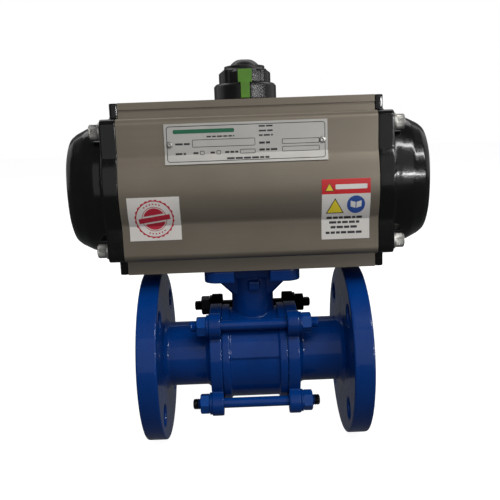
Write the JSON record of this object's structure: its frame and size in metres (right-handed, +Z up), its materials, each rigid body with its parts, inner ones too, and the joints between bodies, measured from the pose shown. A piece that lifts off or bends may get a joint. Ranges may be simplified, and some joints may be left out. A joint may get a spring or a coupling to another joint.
{
  "type": "rotary pneumatic actuator",
  "caption": "Double-acting rack and pinion quarter-turn pneumatic actuator bolted on a three-piece flanged ball valve, with a position indicator on top.",
  "frame": {"origin": "where the pipe axis meets the stem axis, at the centre of the ball", "axes": "+X along the pipe towards the outlet flange, -Y towards the label side, +Z up the stem towards the position indicator"},
  "size_m": [0.248, 0.1295, 0.2794],
  "materials": {
    "body_anodised": "satin",
    "cap_black": "gloss",
    "seal_rubber": "matte",
    "stainless": "satin",
    "spring_steel": "satin",
    "bearing_plastic": "matte",
    "piston_cast": "satin",
    "pinion_steel": "satin",
    "indicator_black": "satin",
    "indicator_green": "satin",
    "plate_silver": "satin",
    "label_film": "satin",
    "valve_blue": "gloss",
    "seat_ptfe": "matte"
  },
  "bodies": {
    "housing": {"actuator_body": "body_anodised", "end_cap_left": "cap_black", "end_cap_right": "cap_black", "end_cap_gasket_left": "seal_rubber", "end_cap_gasket_right": "seal_rubber", "end_cap_screws": "stainless", "end_cap_screw_washers": "stainless", "pinion_bearing_top": "bearing_plastic", "pinion_bearing_bottom": "bearing_plastic", "pinion_thrust_washer": "bearing_plastic", "stop_lock_nuts": "stainless", "stop_seal_washers": "stainless", "nameplate": "plate_silver", "nameplate_rivets": "stainless", "round_mark_label": "label_film", "red_header_label": "label_film", "valve_body": "valve_blue", "valve_end_inlet": "valve_blue", "valve_end_outlet": "valve_blue", "seat_inlet": "seat_ptfe", "seat_outlet": "seat_ptfe", "body_seal_inlet": "seat_ptfe", "body_seal_outlet": "seat_ptfe", "stem_thrust_washer": "seat_ptfe", "stem_packing": "seat_ptfe", "packing_gland": "stainless", "tie_rods": "valve_blue", "tie_rod_nuts": "valve_blue", "tie_rod_washers": "valve_blue", "mounting_screws": "stainless"},
    "drive": {"pinion": "pinion_steel", "pinion_oring_top": "seal_rubber", "pinion_oring_bottom": "seal_rubber", "pinion_steel_washer": "stainless", "pinion_snap_ring": "spring_steel", "stop_cam": "pinion_steel", "indicator_base": "indicator_black", "indicator_cap": "indicator_black", "indicator_inserts": "indicator_green", "indicator_screw": "stainless", "stem": "stainless", "ball": "stainless", "disc_springs": "spring_steel", "stem_washer": "stainless", "stem_nut": "stainless"},
    "piston_left": {"piston_left": "piston_cast", "piston_guide_pad_left": "bearing_plastic", "piston_wear_ring_left": "bearing_plastic", "piston_oring_left": "seal_rubber"},
    "piston_right": {"piston_right": "piston_cast", "piston_guide_pad_right": "bearing_plastic", "piston_wear_ring_right": "bearing_plastic", "piston_oring_right": "seal_rubber"},
    "stop_screw_open": {"stop_screw_open": "stainless"},
    "stop_screw_closed": {"stop_screw_closed": "stainless"}
  },
  "joints": [
    {"name": "drive_turn", "type": "hinge", "parent": "housing", "child": "drive", "pos_m": [0, 0, 0], "axis": [0, 0, 1], "range_deg": [-90, 0]},
    {"name": "piston_right_slide", "type": "slide", "parent": "housing", "child": "piston_right", "axis": [1, 0, 0], "range_m": [-0.0236, 0]},
    {"name": "piston_left_slide", "type": "slide", "parent": "housing", "child": "piston_left", "axis": [-1, 0, 0], "range_m": [-0.0236, 0]},
    {"name": "stop_screw_open_slide", "type": "slide", "parent": "housing", "child": "stop_screw_open", "axis": [0, 1, 0], "range_m": [0, 0.003]},
    {"name": "stop_screw_closed_slide", "type": "slide", "parent": "housing", "child": "stop_screw_closed", "axis": [0, 1, 0], "range_m": [0, 0.003]}
  ],
  "couplings": [
    {"joint": "piston_right_slide", "follows": "drive_turn", "m_per_rad": 0.015},
    {"joint": "piston_left_slide", "follows": "drive_turn", "m_per_rad": 0.015}
  ]
}
